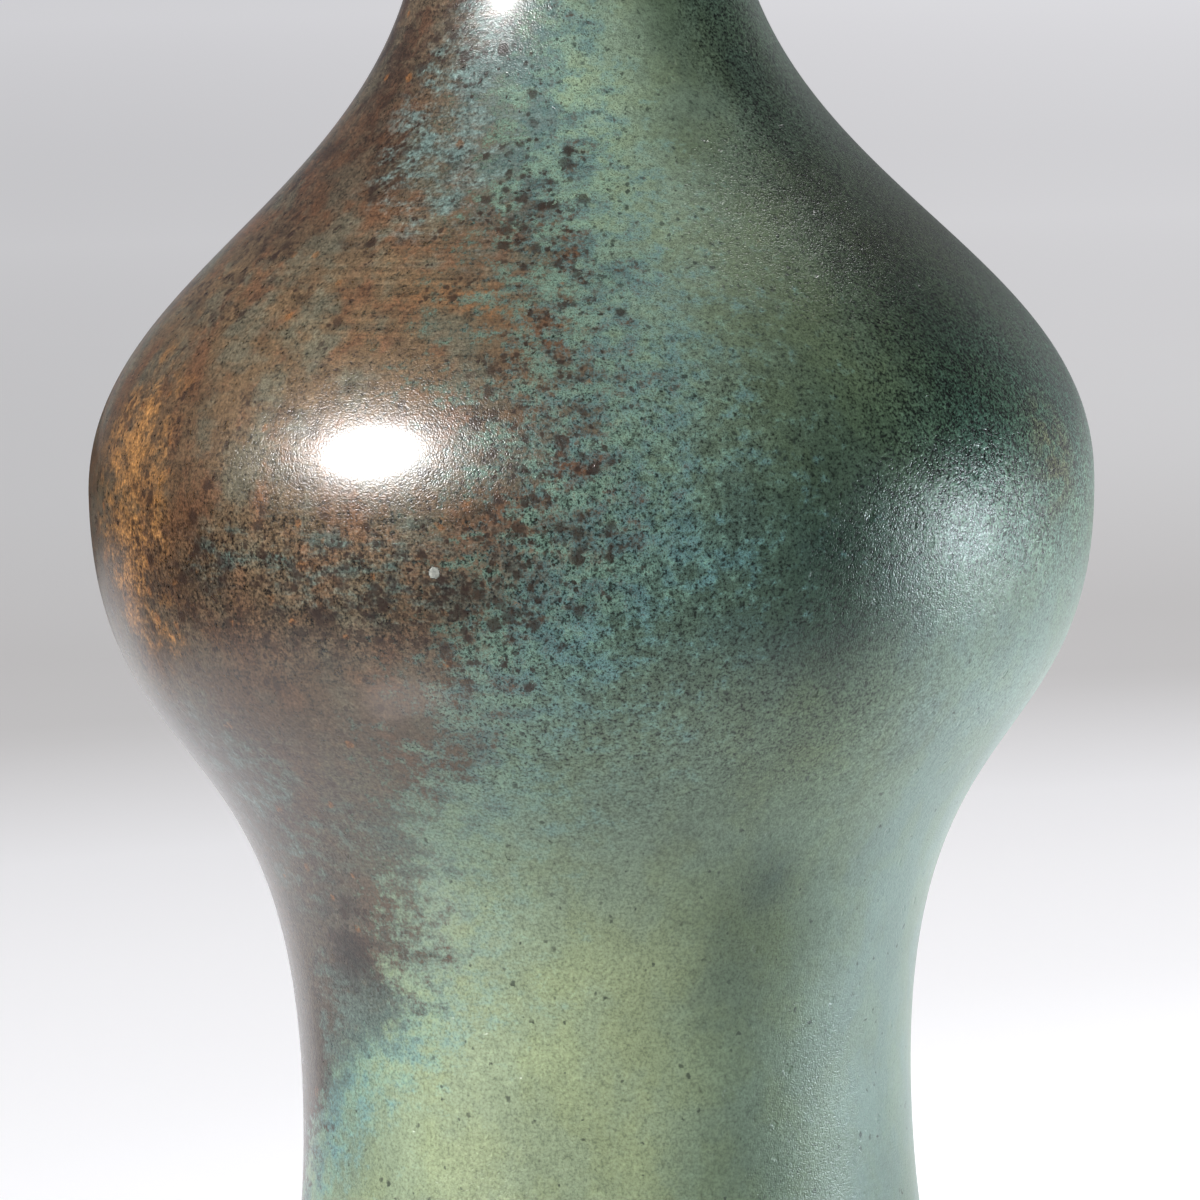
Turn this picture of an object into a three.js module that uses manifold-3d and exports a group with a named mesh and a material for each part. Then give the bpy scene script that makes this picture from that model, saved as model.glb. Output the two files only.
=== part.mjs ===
// A copper flower vase: a flared trunk on a foot ring, a full round belly, a narrow neck and an open mouth.
// Millimetres, +Z up. The origin is the centre of the standing face under the foot.
//
// Four ring castings are turned true, stacked from the foot up and brazed. At every seam the lower casting
// carries a thin collar that enters a rebate in the upper one, the butt faces meet outside it, and a ring
// of brazing metal lies on the edge of the collar. A flat plate soldered into the foot closes the bottom.

import * as THREE from "three";
import { mergeVertices } from "three/addons/utils/BufferGeometryUtils.js";
import Module from "manifold-3d";

// Outer form: the radius at each station, and the rise from one station to the next
const FOOT_RADIUS = 54;
const FOOT_HEIGHT = 8;
const FOOT_STEP = 0.6;
const WAIST_RADIUS = 45.7;
const WAIST_ABOVE_FOOT = 43.5;
const BELLY_RADIUS = 75;
const BELLY_ABOVE_WAIST = 91.5;
const NECK_RADIUS = 23;
const NECK_ABOVE_BELLY = 91.3;
const MOUTH_RADIUS = 36;
const MOUTH_ABOVE_NECK = 45.7;

// How far each curve follows its tangent out of a station before it turns
const TRUNK_FOOT_PULL = 12;
const WAIST_PULL_DOWN = 20;
const WAIST_PULL_UP = 59.5;
const BELLY_PULL_DOWN = 43.3;
const BELLY_PULL_UP = 35;
const NECK_PULL_DOWN = 46.8;
const NECK_PULL_UP = 22;
const MOUTH_PULL = 14;

// Slope of the side, from upright, where it leaves the foot ring and where it reaches the lip
const TRUNK_FOOT_LEAN = THREE.MathUtils.degToRad(17);
const MOUTH_LEAN = THREE.MathUtils.degToRad(48);

// Walls, seams and the closed bottom
const WALL = 3;
const LIP_THICKNESS = 4.4;
const COLLAR_HEIGHT = 6;
const BRAZE_HEIGHT = 1.5;
const BRAZE_GAP = 0.3;
const FOOT_EDGE_ROUND = 1.4;
const PLATE_THICKNESS = 2.5;
const PLATE_RECESS = 4;
const PLATE_LEDGE = 4;
const SOLDER_LEG = 2.5;

// A plug fills a casting pit on the belly, to the left of the front (-Y)
const PLUG_RADIUS = 0.8;
const PLUG_DEPTH = 1.6;
const PLUG_BELOW_BELLY = 6.5;
const PLUG_ANGLE = THREE.MathUtils.degToRad(-17.5);
const PLUG_GAP = 0.1;

// Facets round the axis, and steps along each curve on the outside and on the inside of the wall
const SEGMENTS = 48;
const FLARE_STEPS = { outer: 6, inner: 4 };
const SWELL_STEPS = { outer: 14, inner: 10 };
const SHOULDER_STEPS = { outer: 16, inner: 11 };
const MOUTH_STEPS = { outer: 8, inner: 6 };
const ROUND_STEPS = 6;
const PLUG_SIDES = 12;

const WAIST_HEIGHT = FOOT_HEIGHT + WAIST_ABOVE_FOOT;
const BELLY_HEIGHT = WAIST_HEIGHT + BELLY_ABOVE_WAIST;
const NECK_HEIGHT = BELLY_HEIGHT + NECK_ABOVE_BELLY;
const MOUTH_HEIGHT = NECK_HEIGHT + MOUTH_ABOVE_NECK;

const at = (radius, height) => new THREE.Vector2(radius, height);

// The outer line, in four curves. It stands upright at the waist, the belly and the neck.
const trunkFoot = at(FOOT_RADIUS - FOOT_EDGE_ROUND - FOOT_STEP, FOOT_HEIGHT);
const waist = at(WAIST_RADIUS, WAIST_HEIGHT);
const belly = at(BELLY_RADIUS, BELLY_HEIGHT);
const neckline = at(NECK_RADIUS, NECK_HEIGHT);
const lipRound = LIP_THICKNESS / 2;
const lipCentre = at(MOUTH_RADIUS - lipRound, MOUTH_HEIGHT - lipRound);
const lipOutside = at(Math.cos(MOUTH_LEAN), -Math.sin(MOUTH_LEAN)).multiplyScalar(lipRound).add(lipCentre);

const trunkFlare = new THREE.CubicBezierCurve(
  trunkFoot,
  at(-Math.sin(TRUNK_FOOT_LEAN), Math.cos(TRUNK_FOOT_LEAN)).multiplyScalar(TRUNK_FOOT_PULL).add(trunkFoot),
  at(WAIST_RADIUS, WAIST_HEIGHT - WAIST_PULL_DOWN),
  waist,
);
const trunkSwell = new THREE.CubicBezierCurve(
  waist,
  at(WAIST_RADIUS, WAIST_HEIGHT + WAIST_PULL_UP),
  at(BELLY_RADIUS, BELLY_HEIGHT - BELLY_PULL_DOWN),
  belly,
);
const shoulderCurve = new THREE.CubicBezierCurve(
  belly,
  at(BELLY_RADIUS, BELLY_HEIGHT + BELLY_PULL_UP),
  at(NECK_RADIUS, NECK_HEIGHT - NECK_PULL_DOWN),
  neckline,
);
const mouthFlare = new THREE.CubicBezierCurve(
  neckline,
  at(NECK_RADIUS, NECK_HEIGHT + NECK_PULL_UP),
  at(-Math.sin(MOUTH_LEAN), -Math.cos(MOUTH_LEAN)).multiplyScalar(MOUTH_PULL).add(lipOutside),
  lipOutside,
);

// Points along a curve, set in from it by a depth that may change along the way
function pointsAlong(curve, steps, depth = () => 0) {
  return Array.from({ length: steps + 1 }, (_, i) => {
    const t = i / steps;
    const way = curve.getTangent(t);
    return at(-way.y, way.x).multiplyScalar(depth(t)).add(curve.getPoint(t));
  });
}

// Where a rising line of points crosses a height
function radiusAt(line, height) {
  const i = Math.max(1, line.findIndex((p) => p.y >= height));
  const [a, b] = [line[i - 1], line[i]];
  return a.x + ((b.x - a.x) * (height - a.y)) / (b.y - a.y);
}

// A seam takes its radii from the outer line of the casting above it, at the slimmest height of the lap
function seamUnder(outer) {
  const height = outer[0].y;
  const collarTop = height + COLLAR_HEIGHT;
  const lapTop = collarTop + BRAZE_HEIGHT;
  const inside = Math.min(outer[0].x, radiusAt(outer, lapTop)) - WALL;
  const collar = inside + (WALL - BRAZE_GAP) / 2;
  return { height, collarTop, lapTop, inside, collar, rebate: collar + BRAZE_GAP };
}

// The collar at a casting's upper end, from the butt face over its edge and down into the cavity
const collarOn = (seam) => [
  at(seam.collar, seam.height),
  at(seam.collar, seam.collarTop),
  at(seam.inside, seam.collarTop),
];

// The rebate at a casting's lower end, from the cavity wall out and down to the butt face
const rebateOver = (seam, inner) => [
  at(radiusAt(inner, seam.lapTop), seam.lapTop),
  at(seam.rebate, seam.lapTop),
  at(seam.rebate, seam.height),
];

// The cavity wall between two heights, from the top down
const cavity = (inner, low, high) => inner.filter((p) => p.y > low && p.y < high).reverse();

const evenWall = () => WALL;
const lipWall = (t) => THREE.MathUtils.lerp(WALL, LIP_THICKNESS, THREE.MathUtils.smoothstep(t, 0.4, 1));
const trunkOuter = [
  ...pointsAlong(trunkFlare, FLARE_STEPS.outer),
  ...pointsAlong(trunkSwell, SWELL_STEPS.outer).slice(1),
];
const trunkInner = [
  ...pointsAlong(trunkFlare, FLARE_STEPS.inner, evenWall),
  ...pointsAlong(trunkSwell, SWELL_STEPS.inner, evenWall).slice(1),
];
const shoulderOuter = pointsAlong(shoulderCurve, SHOULDER_STEPS.outer);
const shoulderInner = pointsAlong(shoulderCurve, SHOULDER_STEPS.inner, evenWall);
const mouthOuter = pointsAlong(mouthFlare, MOUTH_STEPS.outer);
const mouthInner = pointsAlong(mouthFlare, MOUTH_STEPS.inner, lipWall);

const footSeam = seamUnder(trunkOuter);
const bellySeam = seamUnder(shoulderOuter);
const neckSeam = seamUnder(mouthOuter);

const vase = new THREE.Group();

// A turned piece: its section, in radius and height, goes once round the upright axis
function turned(section) {
  return new THREE.LatheGeometry(section, SEGMENTS).rotateX(Math.PI / 2);
}

const closed = (section) => [...section, section[0].clone()];

function addPiece(name, geometry, color, roughness, metalness) {
  const material = new THREE.MeshStandardMaterial({ color, roughness, metalness });
  const piece = new THREE.Mesh(geometry, material);
  piece.name = name;
  vase.add(piece);
  return piece;
}

// Round corners of a section, as points on an arc
function arcPoints(centre, radius, from, to) {
  return new THREE.ArcCurve(centre.x, centre.y, radius, from, to, to < from).getPoints(ROUND_STEPS);
}

// Solids for the one cut that a turned section can't give
const wasm = await Module();
wasm.setup();

function solidOf(geometry) {
  const bare = geometry.clone().deleteAttribute("normal").deleteAttribute("uv");
  const merged = mergeVertices(bare, 1e-3);
  const vertProperties = merged.attributes.position.array;
  const triVerts = new Uint32Array(merged.index.array);
  return new wasm.Manifold(new wasm.Mesh({ numProp: 3, vertProperties, triVerts }));
}

function geometryOf(solid) {
  const { vertProperties, triVerts } = solid.getMesh();
  const geometry = new THREE.BufferGeometry();
  geometry.setAttribute("position", new THREE.BufferAttribute(vertProperties, 3));
  geometry.setIndex(new THREE.BufferAttribute(triVerts, 1));
  geometry.computeVertexNormals();
  return geometry;
}

// Foot ring: a rounded band with a flat standing face, a ledge for the bottom plate and the first collar
const plateRadius = footSeam.inside - BRAZE_GAP;
const ledgeRadius = plateRadius - PLATE_LEDGE;
const footRound = at(FOOT_RADIUS - FOOT_EDGE_ROUND, FOOT_EDGE_ROUND);
const footShoulder = at(footRound.x, FOOT_HEIGHT - FOOT_EDGE_ROUND);
const footSection = [
  at(ledgeRadius, 0),
  ...arcPoints(footRound, FOOT_EDGE_ROUND, -Math.PI / 2, 0),
  ...arcPoints(footShoulder, FOOT_EDGE_ROUND, 0, Math.PI / 2),
  ...collarOn(footSeam),
  at(footSeam.inside, PLATE_RECESS),
  at(ledgeRadius, PLATE_RECESS),
];
addPiece("foot_ring", turned(closed(footSection)), 0x5d6f58, 0.45, 0.4);

// Bottom plate: a flat disc that lies on the ledge, inside the collar
const plateTop = PLATE_RECESS + PLATE_THICKNESS;
const plateSection = [
  at(0, PLATE_RECESS),
  at(plateRadius, PLATE_RECESS),
  at(plateRadius, plateTop),
  at(0, plateTop),
];
addPiece("bottom_plate", turned(plateSection), 0x6b5648, 0.5, 0.5);

// Solder fillet that seals the plate to the collar: a hollow quarter round in the corner
const solderCentre = at(plateRadius - SOLDER_LEG, plateTop + SOLDER_LEG);
const solderSection = [
  at(plateRadius, plateTop),
  ...arcPoints(solderCentre, SOLDER_LEG, 0, -Math.PI / 2),
];
addPiece("bottom_solder", turned(closed(solderSection)), 0x9a9c98, 0.45, 0.8);

// Trunk: the flared stem and the lower half of the belly in one casting
const plugHeight = BELLY_HEIGHT - PLUG_BELOW_BELLY;
const plugFace = radiusAt(trunkOuter, plugHeight);
const trunkSection = [
  ...trunkOuter,
  ...collarOn(bellySeam),
  ...cavity(trunkInner, footSeam.lapTop, bellySeam.height - COLLAR_HEIGHT),
  ...rebateOver(footSeam, trunkInner),
];

// A round bar across the wall at the plug's place, from its face inwards
function plugBar(radius, depth) {
  const middle = plugFace - depth / 2;
  const bar = new THREE.CylinderGeometry(radius, radius, depth, PLUG_SIDES);
  bar.rotateZ(Math.PI + PLUG_ANGLE);
  return bar.translate(middle * Math.sin(PLUG_ANGLE), -middle * Math.cos(PLUG_ANGLE), plugHeight);
}

// The pit for the plug is bored deeper than the plug by its gap, and runs out through the face
const pit = plugBar(PLUG_RADIUS + PLUG_GAP, 2 * (PLUG_DEPTH + PLUG_GAP));
pit.translate(
  (PLUG_DEPTH + PLUG_GAP) * Math.sin(PLUG_ANGLE),
  -(PLUG_DEPTH + PLUG_GAP) * Math.cos(PLUG_ANGLE),
  0,
);
const trunk = solidOf(turned(closed(trunkSection))).subtract(solidOf(pit));
addPiece("trunk", geometryOf(trunk), 0x7a5a4a, 0.35, 0.4);
addPiece("casting_plug", plugBar(PLUG_RADIUS, PLUG_DEPTH), 0xb7a58f, 0.4, 0.6);

// Shoulder: the upper half of the belly, drawn in to the neck
const shoulderSection = [
  ...shoulderOuter,
  ...collarOn(neckSeam),
  ...cavity(shoulderInner, bellySeam.lapTop, neckSeam.height - COLLAR_HEIGHT),
  ...rebateOver(bellySeam, shoulderInner),
];
addPiece("shoulder", turned(closed(shoulderSection)), 0x4c7a70, 0.4, 0.3);

// Neck and mouth: a trumpet whose wall thickens to a half-round lip
const lipSection = arcPoints(lipCentre, lipRound, -MOUTH_LEAN, Math.PI - MOUTH_LEAN);
const mouthSection = [
  ...mouthOuter,
  ...lipSection.slice(1),
  ...cavity(mouthInner.slice(0, -1), neckSeam.lapTop, MOUTH_HEIGHT),
  ...rebateOver(neckSeam, mouthInner),
];
addPiece("neck_and_mouth", turned(closed(mouthSection)), 0x56756a, 0.4, 0.3);

// Brazing rings: each fills the end of a rebate, on the edge of the collar
const brazeSection = (seam) => [
  at(seam.inside, seam.collarTop),
  at(seam.collar, seam.collarTop),
  at(seam.collar, seam.lapTop),
  at(seam.inside, seam.lapTop),
];
const seams = { foot: footSeam, belly: bellySeam, neck: neckSeam };
for (const [place, seam] of Object.entries(seams)) {
  addPiece(`${place}_braze`, turned(closed(brazeSection(seam))), 0xc9a45c, 0.4, 0.9);
}

export default vase;
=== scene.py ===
# A cast and turned copper flower vase with a brown and blue-green patina, standing on a pale floor.
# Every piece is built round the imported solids, in metres: +Z is up and the front is along -Y.

import math
from types import SimpleNamespace

import bpy
import bmesh
import numpy as np
from mathutils import Matrix, Vector


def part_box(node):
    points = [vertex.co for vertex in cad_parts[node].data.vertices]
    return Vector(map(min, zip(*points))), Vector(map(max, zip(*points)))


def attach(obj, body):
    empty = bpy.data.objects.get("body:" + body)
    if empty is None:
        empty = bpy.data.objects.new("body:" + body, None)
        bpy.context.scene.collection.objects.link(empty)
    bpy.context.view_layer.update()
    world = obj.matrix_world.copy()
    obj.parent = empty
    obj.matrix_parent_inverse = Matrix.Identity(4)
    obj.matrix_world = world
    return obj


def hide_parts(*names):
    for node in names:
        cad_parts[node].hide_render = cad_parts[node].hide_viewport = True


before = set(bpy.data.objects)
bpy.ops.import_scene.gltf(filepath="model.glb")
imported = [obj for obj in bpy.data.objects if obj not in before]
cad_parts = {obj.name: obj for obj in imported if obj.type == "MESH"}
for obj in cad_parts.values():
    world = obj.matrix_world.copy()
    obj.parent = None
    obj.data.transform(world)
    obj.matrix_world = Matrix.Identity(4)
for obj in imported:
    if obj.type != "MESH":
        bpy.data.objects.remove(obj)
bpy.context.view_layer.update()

# Foot ring
# A turned ring of cast copper alloy. Its flat underside stands on the table, a ledge inside it takes the
# bottom plate, and the thin collar on top enters the trunk, where the two are brazed.

MM = 0.001
WALL = 3.0
BRAZE_GAP = 0.3
FOOT_EDGE_ROUND = 1.4
LEDGE_EDGE_ROUND = 0.5
PLATE_LEDGE = 4.0


def seam_at(braze, casting_above):
    """Heights and radii of a seam in mm, from its ring of brazing metal and the casting above it."""
    low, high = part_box(braze)
    collar = high.x / MM
    return SimpleNamespace(
        height=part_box(casting_above)[0].z / MM,
        collar_top=low.z / MM,
        lap_top=high.z / MM,
        inside=collar - (WALL - BRAZE_GAP) / 2,
        collar=collar,
        rebate=collar + BRAZE_GAP,
    )


def arc(centre, radius, start, end, steps=10):
    """A round corner of a section, as points on an arc between two angles in degrees."""
    angles = np.radians(np.linspace(start, end, steps + 1))
    return [(centre[0] + radius * math.cos(a), centre[1] + radius * math.sin(a)) for a in angles]


def collar_on(seam):
    """The collar at a casting's upper end, from the butt face over its edge and into the cavity."""
    return [(seam.collar, seam.height), (seam.collar, seam.collar_top), (seam.inside, seam.collar_top)]


foot_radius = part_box("foot_ring")[1].x / MM
plate_low, plate_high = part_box("bottom_plate")
plate_radius = plate_high.x / MM
ledge_radius = plate_radius - PLATE_LEDGE
ledge_height = plate_low.z / MM
foot_seam = seam_at("foot_braze", "trunk")
foot_edge = foot_radius - FOOT_EDGE_ROUND
foot_shown = [
    *arc((foot_edge, FOOT_EDGE_ROUND), FOOT_EDGE_ROUND, -90, 0),
    *arc((foot_edge, foot_seam.height - FOOT_EDGE_ROUND), FOOT_EDGE_ROUND, 0, 90),
]
foot_inner = [
    *collar_on(foot_seam),
    (foot_seam.inside, ledge_height),
    (ledge_radius, ledge_height),
    *arc((ledge_radius + LEDGE_EDGE_ROUND, LEDGE_EDGE_ROUND), LEDGE_EDGE_ROUND, 180, 270, 4),
]


def tint(red, green, blue):
    """A colour as it is seen, 0 to 255, in the linear values that nodes take."""
    shares = [value / 255 for value in (red, green, blue)]
    linear = [s / 12.92 if s <= 0.04045 else ((s + 0.055) / 1.055) ** 2.4 for s in shares]
    return (*linear, 1.0)


class Bench:
    """A node tree in the making: each call adds one node, feeds its sockets and hands back an output."""

    def __init__(self, tree):
        self.tree = tree

    def feed(self, socket, value):
        if isinstance(value, bpy.types.NodeSocket):
            self.tree.links.new(value, socket)
        else:
            socket.default_value = value

    def put(self, kind, feeds=(), out=0, **settings):
        node = self.tree.nodes.new(kind)
        for name, value in settings.items():
            setattr(node, name, value)
        if isinstance(feeds, dict):
            pairs = [(node.inputs[name], value) for name, value in feeds.items()]
        else:
            pairs = zip([socket for socket in node.inputs if socket.enabled], feeds)
        for socket, value in pairs:
            self.feed(socket, value)
        if isinstance(out, str):
            return node.outputs[out]
        offered = [socket for socket in node.outputs if socket.enabled]
        return node.outputs if out is None else offered[out]

    def math(self, operation, *terms):
        return self.put("ShaderNodeMath", terms, operation=operation)

    def add(self, *terms):
        total = terms[0]
        for term in terms[1:]:
            total = self.math("ADD", total, term)
        return total

    def times(self, *terms):
        total = terms[0]
        for term in terms[1:]:
            total = self.math("MULTIPLY", total, term)
        return total

    def either(self, *masks):
        total = masks[0]
        for mask in masks[1:]:
            total = self.math("MAXIMUM", total, mask)
        return total

    def fade(self, value, start, end):
        """0 at start and 1 at end, smooth between them; start may be the larger."""
        return self.put("ShaderNodeMapRange", (value, start, end), interpolation_type="SMOOTHSTEP")

    def between(self, value, low, high):
        """A number from low to high, as value goes from 0 to 1."""
        return self.put("ShaderNodeMapRange", (value, 0.0, 1.0, low, high))

    def mix(self, mask, under, over):
        return self.put("ShaderNodeMix", (mask, under, over), data_type="RGBA")

    def shade(self, colour, value):
        return self.put("ShaderNodeMix", (1.0, colour, value), data_type="RGBA", blend_type="MULTIPLY")

    def noise(self, point, size, detail=3.0, rough=0.5, out="Fac"):
        feeds = {"Vector": point, "Scale": 1 / size, "Detail": detail, "Roughness": rough}
        return self.put("ShaderNodeTexNoise", feeds, out=out)

    def stretch(self, point, *factors):
        return self.put("ShaderNodeVectorMath", (point, factors), operation="MULTIPLY")

    def parts(self, vector):
        return self.put("ShaderNodeSeparateXYZ", (vector,), out=None)

    def ramp(self, value, top, *stops):
        """A colour that follows given stops (value, red, green, blue), from 0 to top."""
        node = self.tree.nodes.new("ShaderNodeValToRGB")
        elements = node.color_ramp.elements
        while len(elements) < len(stops):
            elements.new(0.5)
        for element, (at, *colour) in zip(elements, stops):
            element.position = at / top
            element.color = tint(*colour)
        self.feed(node.inputs["Fac"], self.math("DIVIDE", value, top))
        return node.outputs["Color"]

    def line(self, value, *stations):
        """A number that runs smoothly through given stations (value, number)."""
        places, results = zip(*stations)
        low, span = min(results), max(results) - min(results)
        node = self.tree.nodes.new("ShaderNodeFloatCurve")
        points = node.mapping.curves[0].points
        shares = [((x - places[0]) / (places[-1] - places[0]), (y - low) / span) for x, y in stations]
        points[0].location, points[1].location = shares[0], shares[-1]
        for share in shares[1:-1]:
            points.new(*share)
        node.mapping.update()
        self.feed(node.inputs["Value"], self.put("ShaderNodeMapRange", (value, places[0], places[-1])))
        return self.math("MULTIPLY_ADD", node.outputs["Value"], span, low)

    def bump(self, height):
        """The shading of a relief, from its heights in mm."""
        return self.put("ShaderNodeBump", {"Height": height, "Distance": MM})

    def place(self):
        """The point that is shaded, in mm."""
        spot = self.put("ShaderNodeTexCoord", out="Object")
        return self.put("ShaderNodeVectorMath", {"Vector": spot, "Scale": 1 / MM}, operation="SCALE")

    def swing(self, value, amount):
        """A noise that swings round 0, by an amount, from one that swings round 0.5."""
        return self.math("MULTIPLY_ADD", value, amount, -amount / 2)

    def apart(self, angle, middle):
        """Degrees between two angles, the short way round."""
        return self.math("ABSOLUTE", self.math("WRAP", self.math("SUBTRACT", angle, middle), 180.0, -180.0))

    def use(self, group, **feeds):
        """A shader group placed here; a socket's name has _ for each space."""
        named = {name.replace("_", " "): value for name, value in feeds.items()}
        return self.put("ShaderNodeGroup", named, out=None, node_tree=group)


def shader_group(name, inputs, outputs):
    """An empty shader group, as a bench with its feeding and its receiving sockets."""
    tree = bpy.data.node_groups.new(name, "ShaderNodeTree")
    for label, kind in inputs.items():
        tree.interface.new_socket(label, in_out="INPUT", socket_type="NodeSocket" + kind)
    for label, kind in outputs.items():
        tree.interface.new_socket(label, in_out="OUTPUT", socket_type="NodeSocket" + kind)
    feeds = tree.nodes.new("NodeGroupInput").outputs
    results = tree.nodes.new("NodeGroupOutput").inputs
    return Bench(tree), feeds, results


# Where a point, in mm, lies on the vase: degrees round from the front, to the right, and mm above the table
bench, feeds, results = shader_group(
    "place_on_vase",
    {"Point": "Vector"},
    {"Around": "Float", "Up": "Float"},
)
across, deep, up = bench.parts(feeds["Point"])
around = bench.math("ARCTAN2", across, bench.times(deep, -1.0))
bench.feed(results["Around"], bench.math("DEGREES", around))
bench.feed(results["Up"], up)
place_on_vase = bench.tree

# A point moved aside by noise, so that what is laid out by it gets ragged edges; all in mm
bench, feeds, results = shader_group(
    "drifted",
    {"Point": "Vector", "Drift": "Float", "Size": "Float", "Detail": "Float"},
    {"Moved": "Vector"},
)
fineness = bench.math("DIVIDE", 1.0, feeds["Size"])
wander = bench.put(
    "ShaderNodeTexNoise",
    {"Vector": feeds["Point"], "Scale": fineness, "Detail": feeds["Detail"], "Roughness": 0.6},
    out="Color",
)
wander = bench.put("ShaderNodeVectorMath", (wander, (0.5, 0.5, 0.5)), operation="SUBTRACT")
wander = bench.put("ShaderNodeVectorMath", {"Vector": wander, "Scale": feeds["Drift"]}, operation="SCALE")
bench.feed(results["Moved"], bench.put("ShaderNodeVectorMath", (feeds["Point"], wander), operation="ADD"))
drifted = bench.tree

# An oval patch on the vase with a soft edge; it may lean, in mm of rise for each degree round
bench, feeds, results = shader_group(
    "patch",
    {
        "Around": "Float",
        "Up": "Float",
        "Middle Around": "Float",
        "Middle Up": "Float",
        "Half Around": "Float",
        "Half Up": "Float",
        "Lean": "Float",
        "Softness": "Float",
    },
    {"Mask": "Float"},
)
aside = bench.math("WRAP", bench.math("SUBTRACT", feeds["Around"], feeds["Middle Around"]), 180.0, -180.0)
above = bench.math("SUBTRACT", feeds["Up"], feeds["Middle Up"])
above = bench.math("SUBTRACT", above, bench.times(aside, feeds["Lean"]))
wide = bench.math("DIVIDE", aside, feeds["Half Around"])
high = bench.math("DIVIDE", above, feeds["Half Up"])
reach = bench.math("SQRT", bench.add(bench.times(wide, wide), bench.times(high, high)))
inner_edge = bench.math("SUBTRACT", 1.0, feeds["Softness"])
outer_edge = bench.add(1.0, feeds["Softness"])
bench.feed(results["Mask"], bench.fade(reach, outer_edge, inner_edge))
patch = bench.tree

# Spots strewn over a surface: their spacing and size in mm, and the share of places that hold one
bench, feeds, results = shader_group(
    "spots",
    {"Point": "Vector", "Spacing": "Float", "Size": "Float", "Share": "Float"},
    {"Mask": "Float"},
)
fineness = bench.math("DIVIDE", 1.0, feeds["Spacing"])
cells = bench.put("ShaderNodeTexVoronoi", {"Vector": feeds["Point"], "Scale": fineness}, out=None)
chance, swing, strength = bench.put("ShaderNodeSeparateColor", (cells["Color"],), out=None)
away = bench.times(cells["Distance"], feeds["Spacing"])
half = bench.times(feeds["Size"], bench.between(swing, 0.25, 0.6))
spot = bench.fade(bench.math("DIVIDE", away, half), 1.2, 0.55)
held = bench.math("LESS_THAN", chance, feeds["Share"])
bench.feed(results["Mask"], bench.times(spot, held, bench.between(strength, 0.7, 1.0)))
spots = bench.tree


def new_finish(name, constants):
    """A material, as a bench with the sockets of its shader; values that never change go on these."""
    finish = bpy.data.materials.new(name)
    finish.use_nodes = True
    shader = finish.node_tree.nodes["Principled BSDF"].inputs
    for label, value in constants.items():
        shader[label].default_value = value
    return finish, Bench(finish.node_tree), shader


# The patina that runs over all four castings: brown on the left, green on the right and at the back
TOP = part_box("neck_and_mouth")[1].z / MM
patina, bench, shader = new_finish("patina", {"Coat Roughness": 0.15, "Coat IOR": 1.5, "IOR": 1.5})
point = bench.place()
plain = bench.use(place_on_vase, Point=point)
wandering = bench.use(drifted, Point=point, Drift=11.0, Size=13.0, Detail=4.0)["Moved"]
loose = bench.use(place_on_vase, Point=wandering)
around, up = loose["Around"], loose["Up"]


def zone(middle_around, middle_up, half_around, half_up, lean=0.0, softness=0.6):
    """A patch of the patina, by its middle and half sizes in degrees round and mm up."""
    return bench.use(
        patch,
        Around=around,
        Up=up,
        Middle_Around=float(middle_around),
        Middle_Up=float(middle_up),
        Half_Around=float(half_around),
        Half_Up=float(half_up),
        Lean=lean,
        Softness=softness,
    )["Mask"]


clouds = bench.noise(point, 16.0, 3.0, 0.55)
blotches = bench.noise(bench.stretch(point, 0.85, 0.85, 1.15), 4.2, 4.0, 0.66)
streaks = bench.noise(bench.stretch(point, 0.3, 0.3, 1.4), 2.6, 4.0, 0.7)
mottle = bench.noise(point, 1.9, 3.0, 0.75)
grain = bench.noise(point, 0.7, 2.0, 0.75)
fine = bench.noise(point, 0.4, 1.0, 0.6)
hues = bench.noise(bench.stretch(point, 1.0, 1.0, 0.8), 9.0, 4.0, 0.6, out="Color")
reddened, greyed, clustered = bench.put("ShaderNodeSeparateColor", (hues,), out=None)
lines = bench.noise(bench.stretch(point, 0.03, 0.03, 1.0), 0.55, 2.0, 0.7)
ragged = bench.use(drifted, Point=point, Drift=0.9, Size=0.8, Detail=1.0)["Moved"]


def strewn(spacing, size, share):
    """Spots on the patina: their spacing and size in mm, and the share of places that hold one."""
    return bench.use(spots, Point=ragged, Spacing=spacing, Size=size, Share=share)["Mask"]


# How deep a place lies on the brown side, in degrees from its border with the green
BACK_BORDER = -150.0
BORDER = [
    (0, -100), (40, -80), (62, -50), (71, -38), (87, -33), (103, -23), (117, -15), (127, -10), (135, -5),
    (155, -4), (168, -3), (182, -5), (196, -9), (208, -12), (222, -14), (245, -9), (TOP, -4),
]
border = bench.line(up, *BORDER)
brown_middle = bench.times(bench.add(border, BACK_BORDER), 0.5)
brown_half = bench.times(bench.math("SUBTRACT", border, BACK_BORDER), 0.5)
depth = bench.math("SUBTRACT", brown_half, bench.apart(around, brown_middle))
sharpness = bench.line(up, (0, 0.1), (125, 0.1), (155, 0.07), (TOP, 0.07))
broken = bench.add(
    bench.times(depth, sharpness),
    bench.swing(blotches, 4.0),
    bench.swing(mottle, 3.5),
    bench.swing(streaks, 2.5),
    bench.swing(grain, 3.0),
)
brown = bench.fade(broken, -1.0, 1.0)

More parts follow.
